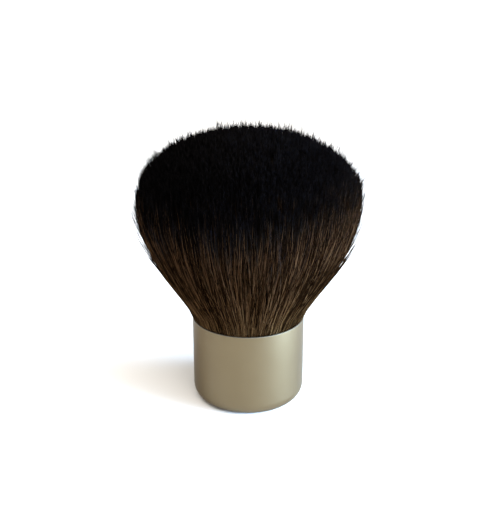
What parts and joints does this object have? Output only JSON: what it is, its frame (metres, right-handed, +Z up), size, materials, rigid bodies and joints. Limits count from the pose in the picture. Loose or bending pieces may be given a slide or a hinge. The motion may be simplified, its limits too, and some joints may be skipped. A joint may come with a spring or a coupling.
{
  "type": "kabuki makeup brush",
  "caption": "Short dense face brush: dark hair flares from a drawn metal cup, which is its ferrule, handle and flat base, to a low round dome.",
  "frame": {"origin": "centre of the flat base that the brush stands on", "axes": "+Z up along the brush's axis, from the base to the crown of the hair; the brush is round, so +X and +Y are free"},
  "size_m": [0.0608, 0.0604, 0.0787],
  "materials": {
    "anodised_cup": "satin, champagne anodised",
    "adhesive_disc": "double-sided foam tape",
    "turned_steel": "as turned",
    "moulded_liner": "moulded, matt",
    "epoxy": "cast, amber",
    "waxed_thread": "waxed linen thread",
    "inner_hair": "soft hair, near black",
    "outer_hair": "soft hair, dark brown to black at the tips"
  },
  "bodies": {
    "root": {"ferrule_shell": "anodised_cup", "weight_pad": "adhesive_disc", "base_weight": "turned_steel", "inner_cup": "moulded_liner", "resin_plug": "epoxy", "knot_thread": "waxed_thread", "hair_core": "inner_hair", "hair_skirt": "outer_hair"}
  },
  "joints": []
}
